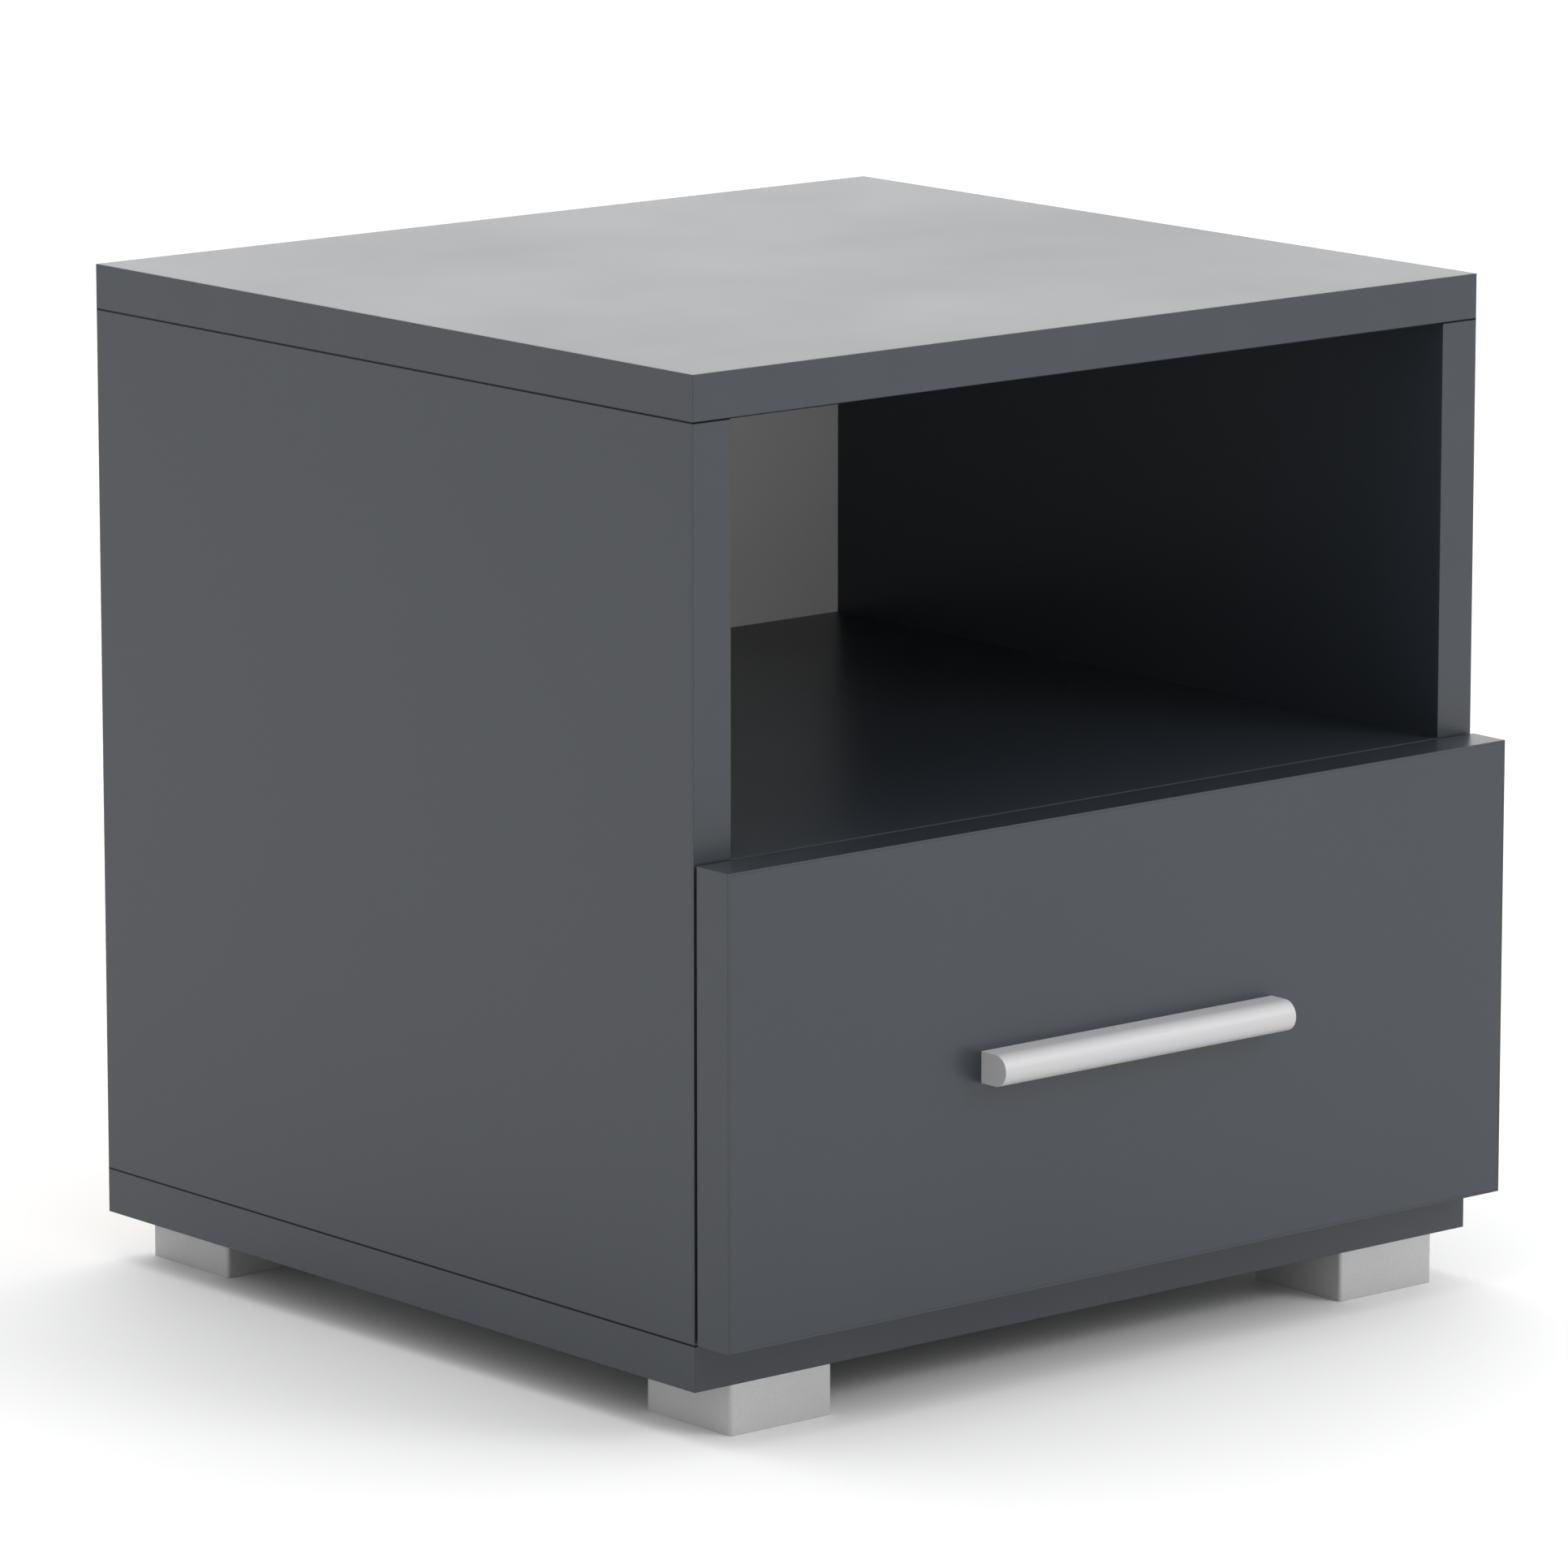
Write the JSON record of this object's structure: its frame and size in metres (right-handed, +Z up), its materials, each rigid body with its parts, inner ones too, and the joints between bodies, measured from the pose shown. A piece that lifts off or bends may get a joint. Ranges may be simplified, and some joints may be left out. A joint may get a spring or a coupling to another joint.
{
  "type": "side table",
  "caption": "Square bedside table with an open niche above a drawer, overlay drawer front with a bar handle, on low block feet.",
  "frame": {"origin": "centre of the footprint, handle included, on the floor under the feet", "axes": "+X to the right as seen from the front, -Y is the front where the drawer opens, +Z up"},
  "size_m": [0.4, 0.405, 0.406],
  "materials": {
    "graphite_board": "matte melamine, anthracite grey",
    "graphite_edge_band": "matte edge band, anthracite grey",
    "white_sheet": "white lacquered hardboard",
    "drawer_box_board": "white foil wrapped board",
    "silver_foot": "silver lacquered plastic",
    "silver_handle": "satin, lengthwise brushed",
    "runner_steel": "white powder coat",
    "nylon_roller": "natural nylon",
    "beech_dowel": "fluted beech",
    "zinc_cam": "die-cast zinc",
    "zinc_steel": "zinc plated steel"
  },
  "bodies": {
    "cabinet": {"back_panel": "white_sheet", "back_panel_nails": "zinc_steel", "bottom_confirmat_screws": "zinc_steel", "bottom_edge_bands": "graphite_edge_band", "bottom_panel": "graphite_board", "cabinet_roller_axles": "zinc_steel", "cabinet_runner_left": "runner_steel", "cabinet_runner_right": "runner_steel", "cabinet_runner_screws": "zinc_steel", "carcass_dowels": "beech_dowel", "foot_front_left": "silver_foot", "foot_front_right": "silver_foot", "foot_rear_left": "silver_foot", "foot_rear_right": "silver_foot", "foot_screws": "zinc_steel", "left_side_edge_band": "graphite_edge_band", "left_side_panel": "graphite_board", "middle_shelf": "graphite_board", "right_side_edge_band": "graphite_edge_band", "right_side_panel": "graphite_board", "shelf_cam_bolts": "zinc_steel", "shelf_cam_locks": "zinc_cam", "shelf_edge_band": "graphite_edge_band", "top_edge_bands": "graphite_edge_band", "top_panel": "graphite_board"},
    "drawer": {"drawer_back": "drawer_box_board", "drawer_back_screws": "zinc_steel", "drawer_bottom": "white_sheet", "drawer_cam_bolts": "zinc_steel", "drawer_cam_locks": "zinc_cam", "drawer_dowels": "beech_dowel", "drawer_front": "graphite_board", "drawer_front_edge_bands": "graphite_edge_band", "drawer_left_side": "drawer_box_board", "drawer_right_side": "drawer_box_board", "drawer_roller_axles": "zinc_steel", "drawer_runner_left": "runner_steel", "drawer_runner_right": "runner_steel", "drawer_runner_screws": "zinc_steel", "handle_bar": "silver_handle", "handle_screws": "zinc_steel"},
    "front_roller_left": {"cabinet_roller_left": "nylon_roller"},
    "front_roller_right": {"cabinet_roller_right": "nylon_roller"},
    "rear_roller_left": {"drawer_roller_left": "nylon_roller"},
    "rear_roller_right": {"drawer_roller_right": "nylon_roller"}
  },
  "joints": [
    {"name": "drawer_slide", "type": "slide", "parent": "cabinet", "child": "drawer", "axis": [0, -1, 0], "range_m": [0, 0.225]},
    {"name": "front_roller_left_spin", "type": "hinge", "parent": "cabinet", "child": "front_roller_left", "pos_m": [-0.17625, -0.1525, 0.06725], "axis": [1, 0, 0], "range_deg": [0, 1360]},
    {"name": "rear_roller_left_spin", "type": "hinge", "parent": "drawer", "child": "rear_roller_left", "pos_m": [-0.17625, 0.1225, 0.06675], "axis": [1, 0, 0], "range_deg": [0, 1360]},
    {"name": "front_roller_right_spin", "type": "hinge", "parent": "cabinet", "child": "front_roller_right", "pos_m": [0.17625, -0.1525, 0.06725], "axis": [1, 0, 0], "range_deg": [0, 1360]},
    {"name": "rear_roller_right_spin", "type": "hinge", "parent": "drawer", "child": "rear_roller_right", "pos_m": [0.17625, 0.1225, 0.06675], "axis": [1, 0, 0], "range_deg": [0, 1360]}
  ],
  "couplings": [
    {"joint": "front_roller_left_spin", "follows": "drawer_slide", "rad_per_m": 105.26},
    {"joint": "rear_roller_left_spin", "follows": "drawer_slide", "rad_per_m": 105.26},
    {"joint": "front_roller_right_spin", "follows": "drawer_slide", "rad_per_m": 105.26},
    {"joint": "rear_roller_right_spin", "follows": "drawer_slide", "rad_per_m": 105.26}
  ]
}
